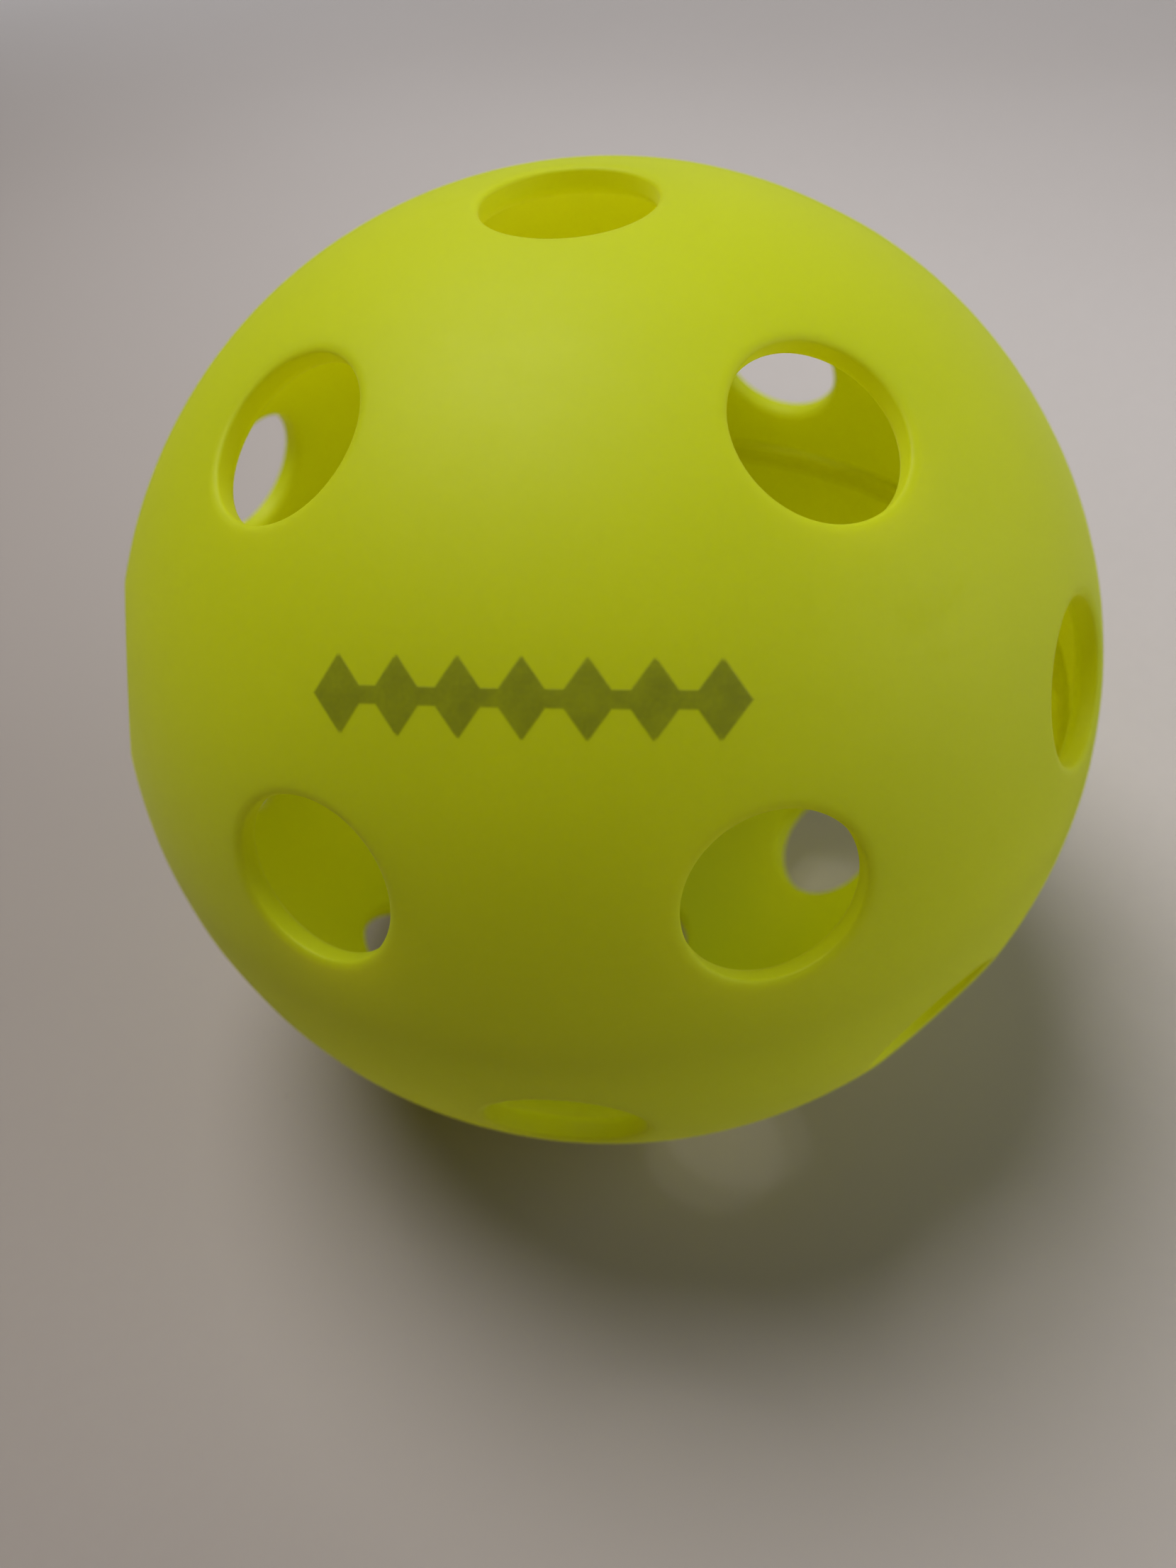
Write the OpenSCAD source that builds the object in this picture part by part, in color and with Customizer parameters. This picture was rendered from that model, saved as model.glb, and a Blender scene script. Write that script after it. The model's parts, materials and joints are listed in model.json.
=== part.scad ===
// Perforated ball for indoor pickleball: 26 holes, two moulded half shells fused together.
// Origin at the ball's centre. +Z runs along the polar axis, out of the upper pole hole,
// and the printed mark faces -Y. Millimetres and degrees.

/* [Ball] */
// Outside diameter of the ball
ball_d = 74; // [73:0.1:75.4]
// Thickness of the moulded wall
wall_t = 1.8; // [1.5:0.1:2.2]

/* [Holes] */
// Diameter of the straight wall of every hole
hole_d = 11; // [10:0.1:11.6]
// Radius of the rounded lip at the outer end of every hole
lip_r = 0.5; // [0.3:0.1:0.7]
// Radius of the rounded edge at the inner end of every hole
edge_r = 0.7; // [0.4:0.1:0.8]
// Angle from the pole to the holes of the first ring
ring1_polar = 36; // [34:0.5:38]
// Number of holes in the first ring of each half
ring1_count = 4; // [3:1:5]
// Latitude of the second ring, measured from the seam
ring2_lat = 16.7; // [15:0.1:18]
// Number of holes in the second ring of each half
ring2_count = 8; // [6:1:8]
// Turn of the lower half against the upper half, about the polar axis
half_twist = 22.5; // [0:2.5:45]

/* [Weld] */
// Thickness of the fused layer between the two rims
fused_t = 0.4; // [0.2:0.1:0.8]
// Radius of each of the two rolls of the inner bead
roll_r = 0.6; // [0.3:0.1:0.9]

/* [Printed mark] */
// Latitude of the middle of the mark
mark_lat = 37.3; // [34:0.1:40]
// Length of the mark, measured straight across
mark_w = 24; // [18:0.5:26]
// Height of each lozenge in the mark
mark_h = 4.8; // [3:0.1:6]
// Number of lozenges in the row
mark_count = 7; // [4:1:9]
// Height of the bar that joins the lozenges
mark_bar = 1.2; // [0.6:0.1:2]
// Thickness of the ink film
ink_t = 0.05; // [0.03:0.01:0.1]

/* [Hidden] */
$fn = 128;
outer_r = ball_d / 2;
inner_r = outer_r - wall_t;
hole_r = hole_d / 2;
// The arcs at both ends of a hole run from the straight wall to the ball's surface through this angle
round_sweep = 60;
// Radius at which the lip meets the outer surface, and the height where the lip starts
mouth_r = hole_r + lip_r * (1 - cos(round_sweep));
lip_z = sqrt(outer_r ^ 2 - mouth_r ^ 2) - lip_r * sin(round_sweep);
// The same for the edge at the inner surface
inner_mouth_r = hole_r + edge_r * (1 - cos(round_sweep));
edge_z = sqrt(inner_r ^ 2 - inner_mouth_r ^ 2) + edge_r * sin(round_sweep);
// How far a cutter runs past the wall on each side
cut_past = 2;
ring1_turn = 45;
ring2_turn = 180 / ring2_count;

moulding_lime = [0.72, 0.78, 0.10];
weld_lime = [0.62, 0.70, 0.08];
ink_olive = [0.38, 0.40, 0.07];

// Half of the wall's section, from the rim up to the pole
module wall_section() {
    intersection() {
        difference() {
            circle(r = outer_r);
            circle(r = inner_r);
        }
        translate([0, fused_t / 2]) square(outer_r);
    }
}

// Section of the opening over a rounded edge, from height z0 to z1, with its arc centred at height arc_z
module flare_section(r, z0, z1, arc_z) {
    difference() {
        translate([0, z0]) square([hole_r + r, z1 - z0]);
        translate([hole_r + r, arc_z]) circle(r = r);
    }
}

// Space of one hole along +Z: a straight wall that opens over a rounded edge at each end
module hole_cutter() {
    rotate_extrude()
        union() {
            translate([0, inner_r - cut_past]) square([hole_r, wall_t + 2 * cut_past]);
            flare_section(lip_r, lip_z, outer_r + cut_past, lip_z);
            flare_section(edge_r, inner_r - cut_past, edge_z, edge_z);
        }
}

// One ring of holes, at an angle from the pole
module hole_ring(polar, count, turn) {
    for (i = [0 : count - 1])
        rotate([0, 0, turn + i * 360 / count]) rotate([0, polar, 0]) hole_cutter();
}

// The moulding that both halves are made from, with its rim at the seam
module half_moulding() {
    difference() {
        rotate_extrude() wall_section();
        hole_cutter();
        hole_ring(ring1_polar, ring1_count, ring1_turn);
        hole_ring(90 - ring2_lat, ring2_count, ring2_turn);
    }
}

module upper_half_shell() {
    color(moulding_lime) half_moulding();
}

// The same moulding turned over and twisted, so that its holes lie between the upper ones
module lower_half_shell() {
    color(moulding_lime) rotate([0, 0, -half_twist]) rotate([180, 0, 0]) half_moulding();
}

// Melt that set again between the rims: a fused layer, trimmed flush outside, with a double roll inside
module weld_bead() {
    roll_offset = roll_r * 0.8;
    color(weld_lime)
        union() {
            rotate_extrude()
                translate([inner_r - roll_r / 3, -fused_t / 2]) square([wall_t + roll_r / 3, fused_t]);
            intersection() {
                sphere(r = inner_r);
                for (side = [-1, 1])
                    translate([0, 0, side * roll_offset])
                        rotate_extrude() translate([inner_r, 0]) circle(r = roll_r);
            }
        }
}

// A row of lozenges on a bar, flat in the XY plane
module mark_outline() {
    pitch = mark_w / mark_count;
    square([mark_w - pitch, mark_bar], center = true);
    for (i = [0 : mark_count - 1])
        translate([(i - (mark_count - 1) / 2) * pitch, 0])
            polygon([[-pitch / 2, 0], [0, -mark_h / 2], [pitch / 2, 0], [0, mark_h / 2]]);
}

// Ink film on the outer surface, printed straight along the normal at the middle of the mark
module printed_mark() {
    color(ink_olive)
        intersection() {
            difference() {
                sphere(r = outer_r + ink_t);
                sphere(r = outer_r);
            }
            rotate([90 - mark_lat, 0, 0]) linear_extrude(outer_r + cut_past) mark_outline();
        }
}

upper_half_shell();
lower_half_shell();
weld_bead();
printed_mark();
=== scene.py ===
"""An indoor pickleball with 26 holes on a pale studio floor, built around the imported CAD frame."""
import json
import math

import bpy
from mathutils import Matrix, Vector, noise
from mathutils.geometry import delaunay_2d_cdt


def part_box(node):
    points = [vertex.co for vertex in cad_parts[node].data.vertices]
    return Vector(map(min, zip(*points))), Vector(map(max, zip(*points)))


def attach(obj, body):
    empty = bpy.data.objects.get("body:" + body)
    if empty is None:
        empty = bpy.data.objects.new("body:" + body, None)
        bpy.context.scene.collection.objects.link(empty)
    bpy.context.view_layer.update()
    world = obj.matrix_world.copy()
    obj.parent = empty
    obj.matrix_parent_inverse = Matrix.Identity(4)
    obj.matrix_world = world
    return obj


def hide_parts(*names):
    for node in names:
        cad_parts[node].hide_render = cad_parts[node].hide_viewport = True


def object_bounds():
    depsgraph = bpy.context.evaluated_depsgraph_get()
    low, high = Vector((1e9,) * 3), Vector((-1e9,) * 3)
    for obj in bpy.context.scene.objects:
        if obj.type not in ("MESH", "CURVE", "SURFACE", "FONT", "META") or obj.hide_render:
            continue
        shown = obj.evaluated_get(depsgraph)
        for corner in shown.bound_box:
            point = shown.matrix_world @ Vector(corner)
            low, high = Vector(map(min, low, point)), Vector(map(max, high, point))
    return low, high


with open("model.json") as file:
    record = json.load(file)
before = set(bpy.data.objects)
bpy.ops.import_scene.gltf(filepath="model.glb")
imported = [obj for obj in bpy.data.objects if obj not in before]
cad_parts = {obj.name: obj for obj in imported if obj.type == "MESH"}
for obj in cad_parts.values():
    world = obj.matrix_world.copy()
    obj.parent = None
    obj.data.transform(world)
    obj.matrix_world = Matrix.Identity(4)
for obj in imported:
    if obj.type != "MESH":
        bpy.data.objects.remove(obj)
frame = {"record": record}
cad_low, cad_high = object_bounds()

MM = 0.001
BODY = "root"

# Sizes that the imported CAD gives
OUTER_R = cad_high.x
RIM_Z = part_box("upper_half_shell")[0].z
FLOOR_Z = cad_low.z
POLE_HOLES = next(m for m in frame["record"]["mounts"] if m["name"] == "pole_holes")
HOLE_R = POLE_HOLES["dims"]["r_mm"] * MM

# Moulded wall and hole edges: the lip falls LIP_DEPTH over LIP_REACH, outside the straight wall
WALL = 1.8 * MM
INNER_R = OUTER_R - WALL
LIP_REACH, LIP_DEPTH = 0.75 * MM, 0.38 * MM
EDGE_R = 0.7 * MM

# Hole pattern of one half: one at the pole, then two rings (angle from the pole, count, first turn)
RINGS = ((36.0, 4, 45.0), (90 - 16.7, 8, 22.5))
LOWER_TWIST = -22.5

# Slow waves of the moulded surface, from uneven shrinkage: height and length of each
WAVES = ((0.03 * MM, 14 * MM), (0.012 * MM, 5 * MM))

# Mesh fineness
LIP_STEPS = 9
HOLE_SIDES = 96
RIM_SIDES = 480
FIELD_STEP = 1.3 * MM
# Circles that lead from a hole, or from the rim, to the even field: gap from the edge, sides
HOLE_RINGS = ((0.4 * MM, HOLE_SIDES), (1.0 * MM, HOLE_SIDES // 2), (1.9 * MM, HOLE_SIDES // 2))
RIM_RINGS = ((0.35 * MM, RIM_SIDES), (1.0 * MM, RIM_SIDES // 2))
FIELD_GAP, FIELD_RIM_GAP = 2.6 * MM, 1.7 * MM
# Smallest gap that the triangulation may merge, in its own flat units
MERGE_GAP = 1e-9
# Share of a hole's angle within which a face counts as lying over the hole
OVER_HOLE = 0.999

# How fast the "lip" attribute, which carries the painted shade at the hole edges, fades with distance from a
# hole's edge
LIP_FADE = 0.9 * MM

# Weld: two rolls, each an arc of ROLL_STEPS steps, whose depth varies by a share over a length
ROLL_R = 0.6 * MM
ROLL_OFFSET = 0.8 * ROLL_R
ROLL_STEPS = 9
ROLL_NOISE = ((0.35, 3 * MM), (0.2, 0.9 * MM))
# How much of that unevenness also widens the roll
ROLL_WIDENING = 0.15

# Printed mark
MARK_LATITUDE = 37.3
MARK_W, MARK_H, MARK_COUNT, MARK_BAR = 24 * MM, 4.8 * MM, 7, 1.2 * MM
MARK_PITCH = MARK_W / MARK_COUNT
INK_HALF_T = 0.03 * MM
INK_STEP = 0.2 * MM


# ---------------------------------------------------------------- geometry helpers

def polar_direction(polar, turn):
    """Unit vector at an angle from +Z, then turned about it, in degrees."""
    p, t = math.radians(polar), math.radians(turn)
    return Vector((math.sin(p) * math.cos(t), math.sin(p) * math.sin(t), math.cos(p)))


def hole_axes():
    axes = [Vector((0, 0, 1))]
    for polar, count, start in RINGS:
        axes += [polar_direction(polar, start + i * 360 / count) for i in range(count)]
    return axes


def circle_about(axis, rho, height, sides):
    """Points of a circle round an axis through the ball's centre."""
    side = axis.orthogonal().normalized()
    other = axis.cross(side)
    turns = [2 * math.pi * i / sides for i in range(sides)]
    return [axis * height + (side * math.cos(a) + other * math.sin(a)) * rho for a in turns]


def swell(point):
    """How far the moulded surface stands off the true sphere there."""
    return sum(height * noise.noise(point / length) for height, length in WAVES)


def add_object(name, points, faces):
    """A smooth mesh object in the scene."""
    mesh = bpy.data.meshes.new(name)
    mesh.from_pydata(points, [], faces)
    mesh.validate()
    mesh.shade_smooth()
    made = bpy.data.objects.new(name, mesh)
    bpy.context.scene.collection.objects.link(made)
    return made


def hole_profile():
    """(distance from the hole's axis, height) from the outer surface, over the lip and down the wall,
    then round the inner edge onto the inner surface."""
    profile = []
    for i in range(LIP_STEPS + 1):
        a = math.radians(90 + 90 * i / LIP_STEPS)
        rho = HOLE_R + LIP_REACH * (1 + math.cos(a))
        profile.append((rho, math.sqrt(OUTER_R ** 2 - rho ** 2) - LIP_DEPTH * (1 - math.sin(a))))
    for i in range(LIP_STEPS + 1):
        a = math.radians(180 - 90 * i / LIP_STEPS)
        rho = HOLE_R + EDGE_R * (1 + math.cos(a))
        profile.append((rho, math.sqrt(INNER_R ** 2 - rho ** 2) + EDGE_R * (1 - math.sin(a))))
    return profile


def golden_points(radius, step, lowest_z):
    """Evenly spread points on the upper part of a sphere, along a golden spiral."""
    count = int(4 * math.pi * radius ** 2 / (step ** 2 * math.sqrt(3) / 2))
    turn = math.pi * (3 - math.sqrt(5))
    points = []
    for i in range(count):
        z = 1 - (2 * i + 1) / count
        if z * radius < lowest_z:
            break
        side = math.sqrt(1 - z * z)
        points.append(Vector((side * math.cos(i * turn), side * math.sin(i * turn), z)) * radius)
    return points


def field(radius, edge_rho, axes):
    """The sphere between the holes, as points, faces, and the loops left open at each hole and at the rim.

    The points are laid flat by stereographic projection, which keeps a Delaunay net Delaunay.
    """
    up = Vector((0, 0, 1))
    points, loops = [], []
    edge_angle = math.asin(edge_rho / radius)
    for axis in axes:
        loops.append(list(range(len(points), len(points) + HOLE_SIDES)))
        points += circle_about(axis, edge_rho, math.sqrt(radius ** 2 - edge_rho ** 2), HOLE_SIDES)
    loops.append(list(range(len(points), len(points) + RIM_SIDES)))
    points += circle_about(up, math.sqrt(radius ** 2 - RIM_Z ** 2), RIM_Z, RIM_SIDES)
    for gap, sides in HOLE_RINGS:
        angle = edge_angle + gap / radius
        for axis in axes:
            points += circle_about(axis, radius * math.sin(angle), radius * math.cos(angle), sides)
    for gap, sides in RIM_RINGS:
        angle = math.asin(RIM_Z / radius) + gap / radius
        points += circle_about(up, radius * math.cos(angle), radius * math.sin(angle), sides)
    clear_cos = math.cos(edge_angle + FIELD_GAP / radius)
    for p in golden_points(radius, FIELD_STEP, RIM_Z + FIELD_RIM_GAP):
        if all((p / radius).dot(axis) < clear_cos for axis in axes):
            points.append(p)

    flat = [Vector((p.x, p.y)) / (radius + p.z) for p in points]
    edges = [(loop[i - 1], loop[i]) for loop in loops for i in range(len(loop))]
    flat_out, _, faces, origin, _, _ = delaunay_2d_cdt(flat, edges, [], 0, MERGE_GAP)
    assert len(flat_out) == len(points)
    back = [o[0] for o in origin]

    # A face whose middle is over a hole or below the rim only closes the flat net
    open_cos = math.cos(edge_angle * OVER_HOLE)
    kept = []
    for face in faces:
        face = tuple(back[i] for i in face)
        middle = (points[face[0]] + points[face[1]] + points[face[2]]) / 3
        direction = middle.normalized()
        if middle.z > RIM_Z and all(direction.dot(axis) <= open_cos for axis in axes):
            kept.append(face)
    return points, kept, loops


def half_moulding(name, twist, tip):
    """One perforated half shell as a closed mesh, built as the upper half and then turned into place.

    The last RIM_SIDES faces are the rim, hidden in the weld, and take the second material. The "lip"
    attribute is 1 at the holes and fades away from them.
    """
    axes = hole_axes()
    profile = hole_profile()
    outer, outer_faces, outer_loops = field(OUTER_R, profile[0][0], axes)
    inner, inner_faces, inner_loops = field(INNER_R, profile[-1][0], axes)
    points = outer + inner
    shift = len(outer)
    faces = outer_faces + [tuple(i + shift for i in reversed(f)) for f in inner_faces]
    for k, axis in enumerate(axes):
        rows = [outer_loops[k]]
        for rho, height in profile[1:-1]:
            rows.append(list(range(len(points), len(points) + HOLE_SIDES)))
            points += circle_about(axis, rho, height, HOLE_SIDES)
        rows.append([i + shift for i in inner_loops[k]])
        for upper, lower in zip(rows, rows[1:]):
            for i in range(HOLE_SIDES):
                faces.append((upper[i - 1], upper[i], lower[i], lower[i - 1]))
    outer_rim, inner_rim = outer_loops[-1], [i + shift for i in inner_loops[-1]]
    for i in range(RIM_SIDES):
        faces.append((outer_rim[i - 1], inner_rim[i - 1], inner_rim[i], outer_rim[i]))

    place = Matrix.Rotation(math.radians(twist), 3, "Z") @ Matrix.Rotation(math.radians(tip), 3, "X")
    placed = [place @ p for p in points]
    placed = [q + q.normalized() * swell(q) for q in placed]
    piece = add_object(name, placed, faces)
    mesh = piece.data

    lip = mesh.attributes.new("lip", "FLOAT", "POINT")
    placed_axes = [place @ axis for axis in axes]
    edge_angle = math.asin(HOLE_R / OUTER_R)
    for i, q in enumerate(placed):
        nearest = max(q.normalized().dot(axis) for axis in placed_axes)
        gap = (math.acos(min(1.0, nearest)) - edge_angle) * OUTER_R
        lip.data[i].value = math.exp(-max(0.0, gap) / LIP_FADE)

    for polygon in list(mesh.polygons)[-RIM_SIDES:]:
        polygon.material_index = 1
    rims = {frozenset((loop[i - 1], loop[i])) for loop in (outer_rim, inner_rim) for i in range(RIM_SIDES)}
    for edge in mesh.edges:
        if frozenset(edge.vertices) in rims:
            edge.use_edge_sharp = True
    return piece


def weld_ring(name):
    """The fused layer between the rims, with the double roll of set melt inside it.

    The rolls take the first material, the strip that shows outside the second, and the two hidden
    faces against the rims the third.
    """
    reach = math.degrees(math.acos(-ROLL_OFFSET / ROLL_R))
    roll = [math.radians(90 + reach * i / ROLL_STEPS) for i in range(ROLL_STEPS + 1)]
    upper = [(INNER_R - ROLL_R * abs(math.sin(a - math.pi / 2)), ROLL_OFFSET + ROLL_R * math.sin(a))
             for a in roll]
    section = [(OUTER_R, RIM_Z), (OUTER_R, -RIM_Z), (INNER_R, -RIM_Z)]
    section += [(rho, -z) for rho, z in upper]
    section += list(reversed(upper[:-1]))
    section += [(INNER_R, RIM_Z)]
    points = []
    for i in range(RIM_SIDES):
        a = 2 * math.pi * i / RIM_SIDES
        along = Vector((math.cos(a), math.sin(a), 0))
        for rho, z in section:
            depth = INNER_R - rho
            p = along * rho + Vector((0, 0, z))
            if depth > 0:
                uneven = 1.0
                for share, length in ROLL_NOISE:
                    uneven += share * noise.noise(p / length)
                widened = 1 + ROLL_WIDENING * (uneven - 1)
                p = along * (INNER_R - depth * uneven) + Vector((0, 0, z * widened))
            points.append(p + p.normalized() * swell(p))
    n = len(section)
    faces = []
    for i in range(RIM_SIDES):
        j = (i + 1) % RIM_SIDES
        for k in range(n):
            m = (k + 1) % n
            faces.append((i * n + k, i * n + m, j * n + m, j * n + k))
    piece = add_object(name, points, faces)
    outside, against_rims = 0, (1, n - 1)
    for k, polygon in enumerate(piece.data.polygons):
        place = k % n
        polygon.material_index = 1 if place == outside else 2 if place in against_rims else 0
    corners = {0, 1, 2, n - 1}
    for edge in piece.data.edges:
        a, b = edge.vertices
        if a % n == b % n and a % n in corners:
            edge.use_edge_sharp = True
    return piece


def lozenge_x(i):
    """Where the middle of a lozenge is along the mark."""
    return (i - (MARK_COUNT - 1) / 2) * MARK_PITCH


def mark_distance(x, y):
    """Distance inside the mark's outline, in metres, negative outside it."""
    half_bar = (MARK_W - MARK_PITCH) / 2
    bar = min(half_bar - abs(x), MARK_BAR / 2 - abs(y))
    i = round(x / MARK_PITCH + (MARK_COUNT - 1) / 2)
    i = min(MARK_COUNT - 1, max(0, i))
    dx = abs(x - lozenge_x(i))
    slope = math.hypot(MARK_PITCH / 2, MARK_H / 2)
    lozenge = (MARK_PITCH * MARK_H / 4 - dx * MARK_H / 2 - abs(y) * MARK_PITCH / 2) / slope
    return max(bar, lozenge)


def mark_outline():
    """Points round the mark, from its right tip over the top to its left tip, then back below."""
    notch = MARK_PITCH / 2 * (1 - MARK_BAR / MARK_H)
    upper = []
    for i in reversed(range(MARK_COUNT)):
        cx = lozenge_x(i)
        right = (cx + MARK_PITCH / 2, 0) if i == MARK_COUNT - 1 else (cx + notch, MARK_BAR / 2)
        left = (cx - MARK_PITCH / 2, 0) if i == 0 else (cx - notch, MARK_BAR / 2)
        upper += [right, (cx, MARK_H / 2), left]
    lower = [(x, -y) for x, y in reversed(upper[1:-1])]
    corners = upper + lower
    points = []
    for (x0, y0), (x1, y1) in zip(corners, corners[1:] + corners[:1]):
        steps = max(1, round(math.hypot(x1 - x0, y1 - y0) / INK_STEP))
        points += [(x0 + (x1 - x0) * s / steps, y0 + (y1 - y0) * s / steps) for s in range(steps)]
    return points


def ink_film(name):
    """The mark as a thin film that straddles the moulded surface, printed straight along its normal.

    The "inset" attribute is the distance from the film's edge in millimetres.
    """
    tilt = Matrix.Rotation(math.radians(90 - MARK_LATITUDE), 3, "X")
    flat = [Vector(p) for p in mark_outline()]
    count = len(flat)
    nx, ny = int(MARK_W / INK_STEP / 2) + 1, int(MARK_H / INK_STEP / 2) + 1
    for i in range(-nx, nx + 1):
        for j in range(-ny, ny + 1):
            x, y = (i + 0.5 * (j % 2)) * INK_STEP, j * INK_STEP
            if mark_distance(x, y) > 0.6 * INK_STEP:
                flat.append(Vector((x, y)))
    scale = 1 / MARK_W
    edges = [(i, (i + 1) % count) for i in range(count)]
    _, _, faces, origin, _, _ = delaunay_2d_cdt([p * scale for p in flat], edges, [], 1, MERGE_GAP)
    back = [o[0] for o in origin]
    faces = [tuple(back[i] for i in f) for f in faces]
    points, insets = [], []
    for side in (1, -1):
        for p in flat:
            q = tilt @ Vector((p.x, p.y, math.sqrt(OUTER_R ** 2 - p.x ** 2 - p.y ** 2)))
            points.append(q + q.normalized() * (swell(q) + side * INK_HALF_T))
            insets.append(max(0.0, mark_distance(p.x, p.y)))
    n = len(flat)
    solid = faces + [tuple(i + n for i in reversed(f)) for f in faces]
    solid += [((i + 1) % count, i, i + n, (i + 1) % count + n) for i in range(count)]
    piece = add_object(name, points, solid)
    inset = piece.data.attributes.new("inset", "FLOAT", "POINT")
    for i, value in enumerate(insets):
        inset.data[i].value = value / MM
    return piece


# ---------------------------------------------------------------- materials

def rgb(r, g, b):
    return (r, g, b, 1.0)


LIME, DEEP_LIME = rgb(0.80, 0.965, 0.006), rgb(0.75, 0.92, 0.004)
# The pale grain colour is a random paler tone, and its whitish cast also stands in for a painted sheen.
PALE_GRAIN_AND_SHEEN, SHADED_LIP = rgb(0.88, 0.97, 0.24), rgb(0.30, 0.33, 0.004)
# The second through colour is for the hole edges: the light passing through, painted slightly darker as
# shade.
THROUGH_LIME, THROUGH_LIP_SHADED = rgb(0.985, 0.93, 0.0), rgb(0.95, 0.895, 0.0)
SMUDGE, SHEEN = rgb(0.42, 0.42, 0.10), rgb(1.0, 1.0, 0.85)
INK_DARK, INK_LIGHT = rgb(0.04, 0.045, 0.010), rgb(0.07, 0.075, 0.02)
# Painted light and shade on the floor: the near colour is darker, the far colour paler.
FLOOR_NEAR_SHADED, FLOOR_FAR_LIT = rgb(0.355, 0.31, 0.285), rgb(0.71, 0.665, 0.655)
FLOOR_MOTTLE, FLOOR_GRAIN = rgb(0.52, 0.46, 0.42), rgb(0.45, 0.42, 0.40)
# The last floor colour is that of the floor's painted glow.
FLOOR_SPECK, FLOOR_GLOW = rgb(0.25, 0.21, 0.18), rgb(0.98, 0.97, 1.0)
SKY = rgb(0.95, 0.94, 0.97)

# Share of the light that goes through the wall instead of scattering at its surface
SHELL_TRANSLUCENCY, WELD_TRANSLUCENCY = 0.57, 0.75
SHELL_ROUGHNESS, WELD_ROUGHNESS = 0.58, 0.50


class Nodes:
    """A small helper that builds the node tree of a material or a world from short calls."""

    def __init__(self, owner, output, space):
        owner.use_nodes = True
        self.tree = owner.node_tree
        self.tree.nodes.clear()
        self.output = self.tree.nodes.new(output)
        self.coords = self.tree.nodes.new("ShaderNodeTexCoord").outputs[space]

    def put(self, socket, value):
        if isinstance(value, bpy.types.NodeSocket):
            self.tree.links.new(value, socket)
        else:
            socket.default_value = value

    def node(self, kind, inputs=None, **settings):
        made = self.tree.nodes.new(kind)
        for key, value in settings.items():
            setattr(made, key, value)
        for key, value in (inputs or {}).items():
            self.put(made.inputs[key], value)
        return made

    def noise(self, size, detail, roughness=0.5, distortion=0.0):
        """Noise whose features are about size metres across, from 0 to 1."""
        made = self.node("ShaderNodeTexNoise", {"Vector": self.coords, "Scale": 1 / size, "Detail": detail,
                                                "Roughness": roughness, "Distortion": distortion})
        return made.outputs["Fac"]

    def remap(self, value, span, to=(0, 1), smooth=False):
        """Takes the two ends of span to the two ends of to, and stays there outside them."""
        made = self.node("ShaderNodeMapRange", {"Value": value, "From Min": span[0], "From Max": span[1],
                                                "To Min": to[0], "To Max": to[1]})
        made.interpolation_type = "SMOOTHSTEP" if smooth else "LINEAR"
        return made.outputs["Result"]

    def math(self, operation, a, b):
        return self.node("ShaderNodeMath", {0: a, 1: b}, operation=operation).outputs[0]

    def along(self, direction):
        """How far the coordinates lie in a direction."""
        made = self.node("ShaderNodeVectorMath", {0: self.coords, 1: direction}, operation="DOT_PRODUCT")
        return made.outputs["Value"]

    def reach(self):
        """How far the coordinates lie from the origin."""
        return self.node("ShaderNodeVectorMath", {0: self.coords}, operation="LENGTH").outputs["Value"]

    def mix(self, factor, a, b):
        made = self.node("ShaderNodeMix", {"Factor": factor}, data_type="RGBA")
        self.put(made.inputs["A"], a)
        self.put(made.inputs["B"], b)
        return made.outputs["Result"]

    def attribute(self, name):
        return self.node("ShaderNodeAttribute", attribute_name=name).outputs["Fac"]

    def ray(self, kind):
        return self.node("ShaderNodeLightPath").outputs[kind]

    def bump(self, height, strength, distance, normal=None):
        inputs = {"Height": height, "Strength": strength, "Distance": distance}
        if normal is not None:
            inputs["Normal"] = normal
        return self.node("ShaderNodeBump", inputs).outputs["Normal"]

    def principled(self, **inputs):
        named = {key.replace("_", " "): value for key, value in inputs.items()}
        return self.node("ShaderNodeBsdfPrincipled", named).outputs[0]

    def clear(self):
        return self.node("ShaderNodeBsdfTransparent").outputs[0]

    def blend(self, factor, first, second):
        """The first shader, giving way to the second as the factor rises."""
        return self.node("ShaderNodeMixShader", {0: factor, 1: first, 2: second}).outputs[0]

    def surface(self, shader):
        self.tree.links.new(shader, self.output.inputs["Surface"])


def material_nodes(name):
    material = bpy.data.materials.new(name)
    return material, Nodes(material, "ShaderNodeOutputMaterial", "Object")


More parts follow.
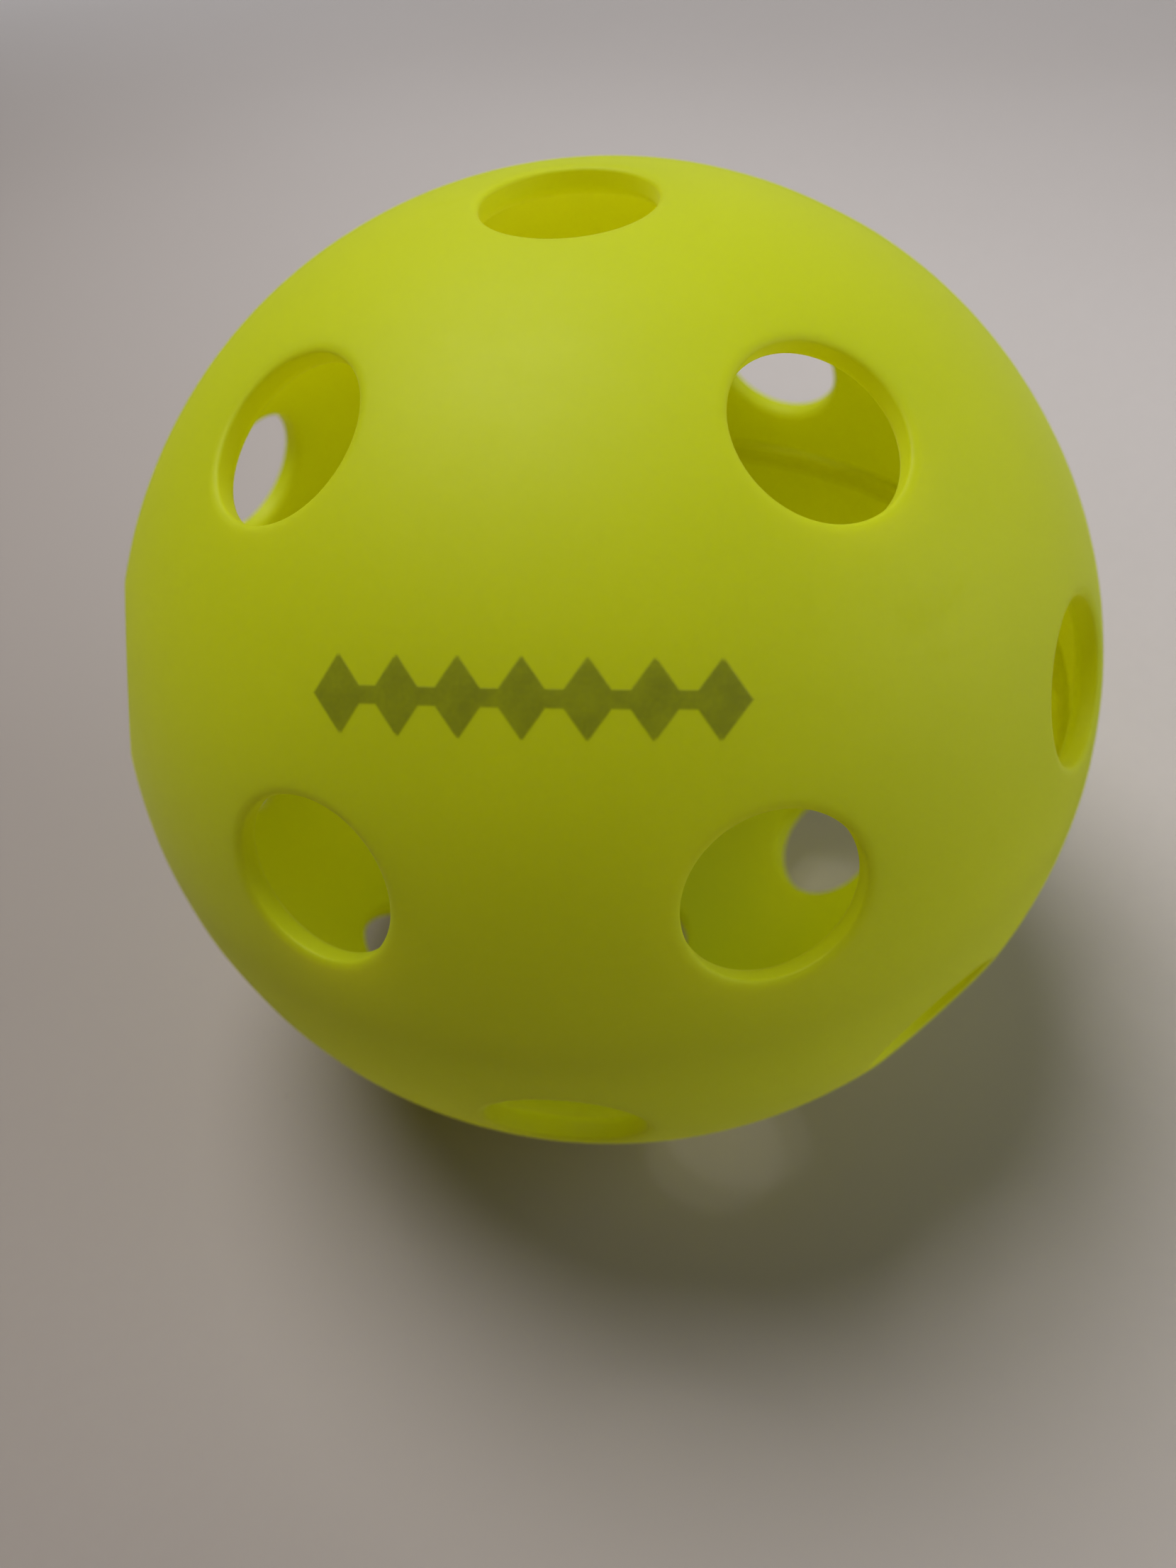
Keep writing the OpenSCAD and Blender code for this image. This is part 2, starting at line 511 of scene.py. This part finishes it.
def moulded_plastic(name, roughness, translucency):
    """Thin polyethylene wall that passes light: slow mottling, fine pale grain that also paints a faint
    sheen, hole edges painted slightly darker as shade, faint scuffs, and a pale sheen where it is seen at a
    low angle."""
    material, s = material_nodes(name)
    slow = s.noise(16 * MM, detail=2)
    middle = s.noise(2.2 * MM, detail=4, roughness=0.6)
    fine = s.noise(0.35 * MM, detail=3)
    scuff = s.noise(6 * MM, detail=6, roughness=0.7, distortion=1.2)
    scuffed = s.remap(scuff, (0.56, 0.72), smooth=True)
    lip = s.attribute("lip")
    base = s.mix(s.remap(slow, (0.3, 0.7), smooth=True), DEEP_LIME, LIME)
    base = s.mix(s.remap(middle, (0.35, 0.75), (0, 0.22)), base, DEEP_LIME)
    # Fine grain in a paler, whitish tone: partly real grain, partly painted sheen.
    base = s.mix(s.remap(fine, (0.3, 0.7), (0, 0.08)), base, PALE_GRAIN_AND_SHEEN)
    # Painted shade: the hole edges are darkened toward the shaded lip colour.
    base = s.mix(s.remap(lip, (0, 1), (0, 0.08)), base, SHADED_LIP)
    base = s.mix(s.math("MULTIPLY", scuffed, 0.05), base, SMUDGE)
    rough = s.remap(middle, (0, 1), (roughness - 0.05, roughness + 0.05))
    rough = s.math("ADD", rough, s.math("MULTIPLY", scuffed, 0.1))
    waves = s.bump(slow, strength=0.25, distance=0.2 * MM)
    grain = s.bump(fine, strength=0.18, distance=0.02 * MM, normal=waves)
    normal = s.bump(scuff, strength=0.12, distance=0.05 * MM, normal=grain)
    skin = s.principled(Base_Color=base, Roughness=rough, IOR=1.5, Specular_IOR_Level=0.6, Normal=normal,
                        Sheen_Weight=0.22, Sheen_Roughness=0.45, Sheen_Tint=SHEEN)
    # Painted shade: the light through the wall is a little darker at the hole edges.
    glow = s.mix(s.remap(lip, (0.2, 1)), THROUGH_LIME, THROUGH_LIP_SHADED)
    through = s.node("ShaderNodeBsdfTranslucent", {"Color": glow, "Normal": normal}).outputs[0]
    s.surface(s.blend(translucency, skin, through))
    return material


def melted_interface(name):
    """The faces where rims and melt became one: nothing is there to see, so light passes straight through."""
    material, s = material_nodes(name)
    s.surface(s.clear())
    return material


def pad_ink(name):
    """Thin dark olive ink, unevenly laid, that lets most of the lime through and fades at its edges."""
    material, s = material_nodes(name)
    blotch = s.noise(1.6 * MM, detail=4, roughness=0.6)
    speck = s.noise(0.25 * MM, detail=2)
    cover = s.remap(s.attribute("inset"), (0, 0.22), smooth=True)
    cover = s.math("MULTIPLY", cover, s.remap(blotch, (0.3, 0.7), (0.30, 0.40)))
    cover = s.math("MULTIPLY", cover, s.remap(speck, (0.2, 0.6), (0.85, 1.0)))
    s.surface(s.principled(Base_Color=s.mix(blotch, INK_DARK, INK_LIGHT), Alpha=cover,
                           Roughness=s.remap(speck, (0, 1), (0.45, 0.65)),
                           Normal=s.bump(speck, strength=0.2, distance=0.01 * MM)))
    return material


def paper_floor(name):
    """Matt pale floor with faint mottling and a few specks, with painted light making it paler toward the
    back right and painted shade making it darker toward the front left.

    Far from the ball it glows a little to the camera, and to glossy rays at the back right, so that the
    wall is a pale backdrop without lighting the ball. From below it is clear, so that the ball shows.
    """
    material, s = material_nodes(name)
    slow = s.noise(90 * MM, detail=3)
    fine = s.noise(1.2 * MM, detail=4)
    speck = s.noise(3 * MM, detail=1)
    # Painted light and shade: the floor's colour runs from darker at the front left to paler at the back
    # right.
    lit_toward_back = s.remap(s.along((0.75, 0.66, 0.0)), (-0.12, 0.15), smooth=True)
    base = s.mix(lit_toward_back, FLOOR_NEAR_SHADED, FLOOR_FAR_LIT)
    base = s.mix(s.remap(slow, (0.3, 0.7), (0, 0.08)), base, FLOOR_MOTTLE)
    base = s.mix(s.remap(fine, (0.35, 0.65), (0, 0.06)), base, FLOOR_GRAIN)
    base = s.mix(s.remap(speck, (0.84, 0.90), (0, 0.25), smooth=True), base, FLOOR_SPECK)
    seen = s.ray("Is Camera Ray")
    mirrored = s.math("MULTIPLY", s.ray("Is Glossy Ray"), s.math("MULTIPLY", lit_toward_back, 1.1))
    # Painted glow: far from the ball the floor emits light to the camera, and to glossy rays at the back
    # right as a painted reflection in the ball.
    glow_reach = s.remap(s.reach(), (0.28, 0.80), (0, 0.42), smooth=True)
    paper = s.principled(Base_Color=base, Roughness=0.85,
                         Normal=s.bump(fine, strength=0.15, distance=0.1 * MM), Emission_Color=FLOOR_GLOW,
                         Emission_Strength=s.math("MULTIPLY", s.math("ADD", seen, mirrored), glow_reach))
    backfacing = s.node("ShaderNodeNewGeometry").outputs["Backfacing"]
    s.surface(s.blend(s.math("MULTIPLY", seen, backfacing), paper, s.clear()))
    return material


# ---------------------------------------------------------------- stage

def cove(name, flat_r, bend_r, top, flat_steps=6, bend_steps=12, sides=96):
    """A round floor that bends up into a wall on every side, so that any view has a plain background."""
    profile = [(flat_r * i / flat_steps, 0.0) for i in range(1, flat_steps + 1)]
    for i in range(1, bend_steps + 1):
        a = math.radians(90 * i / bend_steps)
        profile.append((flat_r + bend_r * math.sin(a), bend_r * (1 - math.cos(a))))
    profile.append((flat_r + bend_r, top))
    points = [Vector((0, 0, FLOOR_Z))]
    for rho, z in profile:
        for i in range(sides):
            a = 2 * math.pi * i / sides
            points.append(Vector((rho * math.cos(a), rho * math.sin(a), FLOOR_Z + z)))
    faces = [(0, 1 + i, 1 + (i + 1) % sides) for i in range(sides)]
    for row in range(len(profile) - 1):
        a, b = 1 + row * sides, 1 + (row + 1) * sides
        for i in range(sides):
            j = (i + 1) % sides
            faces.append((a + i, b + i, b + j, a + j))
    return add_object(name, points, faces)


LIGHT_DISTANCE = 0.50


def area_light(name, direction, size, power, colour):
    """A soft round light that faces the ball's centre."""
    data = bpy.data.lights.new(name, "AREA")
    data.shape = "DISK"
    data.size = size
    data.energy = power
    data.color = colour
    lamp = bpy.data.objects.new(name, data)
    toward = Vector(direction).normalized()
    lamp.location = toward * LIGHT_DISTANCE
    lamp.rotation_mode = "QUATERNION"
    lamp.rotation_quaternion = toward.to_track_quat("Z", "Y")
    bpy.context.scene.collection.objects.link(lamp)


def ball_camera():
    """Close phone camera above the printed side, leaning as the photographer held it.

    It focuses on a fixed point of the ball's near side, so that views from elsewhere stay fairly sharp.
    """
    place_azimuth, place_elevation, distance = 9.02, 39.45, 2.7226 * OUTER_R
    look_azimuth, look_down, roll = 10.99, 44.68, 6.29
    focus_depth = 68 * MM
    data = bpy.data.cameras.new("camera")
    data.sensor_width = 36.0
    data.lens = 28.45
    data.clip_start, data.clip_end = 1 * MM, 20.0
    camera = bpy.data.objects.new("camera", data)
    a, e = math.radians(place_azimuth), math.radians(place_elevation)
    camera.location = distance * Vector((math.sin(a) * math.cos(e), -math.cos(a) * math.cos(e), math.sin(e)))
    turn = Matrix.Rotation(math.radians(look_azimuth), 4, "Z")
    tip = Matrix.Rotation(math.radians(90 - look_down), 4, "X")
    lean = Matrix.Rotation(math.radians(-roll), 4, "Z")
    camera.rotation_mode = "QUATERNION"
    camera.rotation_quaternion = (turn @ tip @ lean).to_quaternion()
    focus = bpy.data.objects.new("focus_point", None)
    focus.location = camera.location + camera.rotation_quaternion @ Vector((0, 0, -focus_depth))
    bpy.context.scene.collection.objects.link(focus)
    data.dof.use_dof = True
    data.dof.focus_object = focus
    data.dof.aperture_fstop = 30
    bpy.context.scene.collection.objects.link(camera)
    bpy.context.scene.camera = camera


def studio_world(name):
    """A world that lights nothing: glossy rays see a soft sky overhead, and the camera sees a pale grey."""
    world = bpy.data.worlds.new(name)
    s = Nodes(world, "ShaderNodeOutputWorld", "Generated")
    sky = s.remap(s.along((0.15, 0.55, 0.82)), (0.55, 1.0), (0, 1.4))
    glossy = s.math("MULTIPLY", s.ray("Is Glossy Ray"), sky)
    plain = s.math("MULTIPLY", s.ray("Is Camera Ray"), 0.45)
    strength = s.math("ADD", glossy, plain)
    s.surface(s.node("ShaderNodeBackground", {"Color": SKY, "Strength": strength}).outputs[0])
    return world


# ---------------------------------------------------------------- assembly

def add_piece(piece, materials, node):
    for material in materials:
        piece.data.materials.append(material)
    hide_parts(node)
    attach(piece, BODY)


shell_plastic = moulded_plastic("moulded_polyethylene", SHELL_ROUGHNESS, SHELL_TRANSLUCENCY)
weld_plastic = moulded_plastic("fused_polyethylene", WELD_ROUGHNESS, WELD_TRANSLUCENCY)
interface = melted_interface("melted_interface")

add_piece(half_moulding("upper_shell_moulding", twist=0, tip=0),
          [shell_plastic, interface], "upper_half_shell")
add_piece(half_moulding("lower_shell_moulding", twist=LOWER_TWIST, tip=180),
          [shell_plastic, interface], "lower_half_shell")
add_piece(weld_ring("weld_bead_roll"),
          [weld_plastic, shell_plastic, interface], "weld_bead")
add_piece(ink_film("lozenge_print"), [pad_ink("pad_ink")], "printed_mark")

floor = cove("floor", flat_r=0.6, bend_r=0.4, top=0.9)
floor.data.materials.append(paper_floor("pale_floor"))

area_light("key", (-0.24, 0.13, 0.95), size=0.30, power=2.05, colour=(1.0, 0.985, 0.965))
area_light("side_fill", (0.93, -0.04, 0.33), size=0.40, power=0.81, colour=(0.94, 0.98, 1.0))
area_light("rim_fill", (0.1, 0.9, 0.45), size=0.40, power=0.08, colour=(0.97, 0.99, 1.0))

scene = bpy.context.scene
scene.world = studio_world("studio")
scene.view_settings.view_transform = "Standard"
scene.view_settings.gamma = 0.94

ball_camera()
